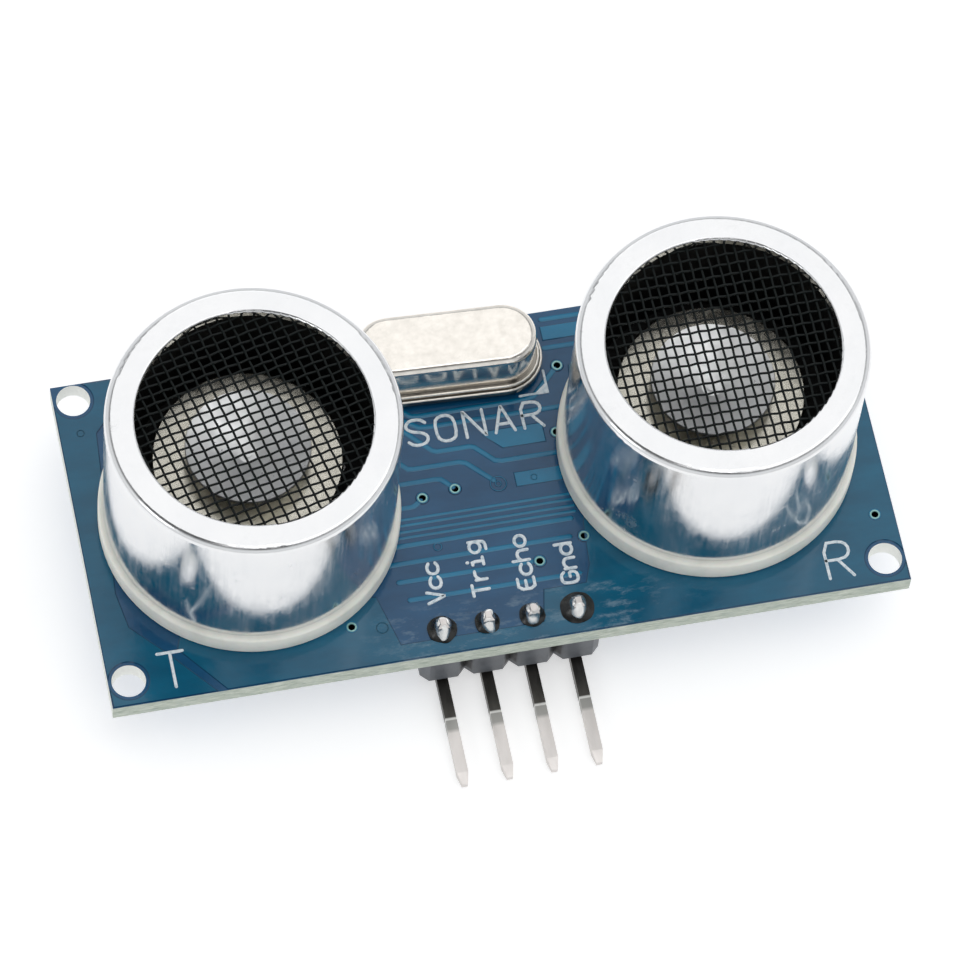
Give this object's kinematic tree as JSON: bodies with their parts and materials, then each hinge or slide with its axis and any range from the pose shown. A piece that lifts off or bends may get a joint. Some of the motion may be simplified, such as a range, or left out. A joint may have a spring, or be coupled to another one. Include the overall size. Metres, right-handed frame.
{
  "type": "ultrasonic distance sensor",
  "caption": "Small blue circuit board with two round metal-canned ultrasonic transducers, an oval crystal can and a bent pin header, for measuring distance.",
  "frame": {"origin": "centre of the four mounting holes, on the board's back face", "axes": "+X along the board from the transmitter to the receiver, +Y towards the crystal's edge, +Z out of the board's front, the way the transducers point"},
  "size_m": [0.045, 0.026, 0.017],
  "materials": {
    "solder_mask": "satin blue solder mask over glass-fibre laminate; the cut edge is pale green-grey",
    "black_nylon": "matt moulded header plastic",
    "solder": "bright uneven solder",
    "tinned_brass": "tin-plated square pins, soft sheen",
    "ivory_resin": "moulded ivory resin",
    "can_aluminium": "satin drawn aluminium, fine handling marks",
    "black_liner": "flat black",
    "screen_wire": "dark painted woven wire",
    "piezoceramic": "fired, matt, thinly silvered",
    "disc_metal": "pale yellowish plated disc",
    "cone_metal": "thin bright pressed foil",
    "silicone": "translucent white silicone",
    "tinned_steel": "tin plated",
    "crystal_nickel": "warm satin nickel plate",
    "seal_glass": "fused glass bead",
    "quartz": "ground quartz strip",
    "chip_epoxy": "black moulding compound",
    "resistor_black": "glazed black top",
    "capacitor_tan": "fired tan ceramic"
  },
  "bodies": {
    "root": {"circuit_board": "solder_mask", "header_housing": "black_nylon", "header_solder": "solder", "header_pin_1": "tinned_brass", "header_pin_2": "tinned_brass", "header_pin_3": "tinned_brass", "header_pin_4": "tinned_brass", "transmitter_base": "ivory_resin", "transmitter_can": "can_aluminium", "transmitter_liner": "black_liner", "transmitter_screen": "screen_wire", "transmitter_piezo_disc": "piezoceramic", "transmitter_metal_disc": "disc_metal", "transmitter_cone": "cone_metal", "transmitter_silicone": "silicone", "transmitter_terminals": "tinned_steel", "transmitter_lead_wires": "tinned_steel", "transmitter_solder": "solder", "receiver_base": "ivory_resin", "receiver_can": "can_aluminium", "receiver_liner": "black_liner", "receiver_screen": "screen_wire", "receiver_piezo_disc": "piezoceramic", "receiver_metal_disc": "disc_metal", "receiver_cone": "cone_metal", "receiver_silicone": "silicone", "receiver_terminals": "tinned_steel", "receiver_lead_wires": "tinned_steel", "receiver_solder": "solder", "crystal_base": "crystal_nickel", "crystal_can": "crystal_nickel", "crystal_seals": "seal_glass", "crystal_leads": "tinned_steel", "crystal_clips": "tinned_steel", "crystal_blank": "quartz", "crystal_solder": "solder", "controller_body": "chip_epoxy", "controller_leads": "tinned_steel", "driver_body": "chip_epoxy", "driver_leads": "tinned_steel", "amplifier_body": "chip_epoxy", "amplifier_leads": "tinned_steel", "transistor_body": "chip_epoxy", "transistor_leads": "tinned_steel", "resistor_bodies": "resistor_black", "resistor_ends": "tinned_steel", "capacitor_bodies": "capacitor_tan", "capacitor_ends": "tinned_steel"}
  },
  "joints": []
}
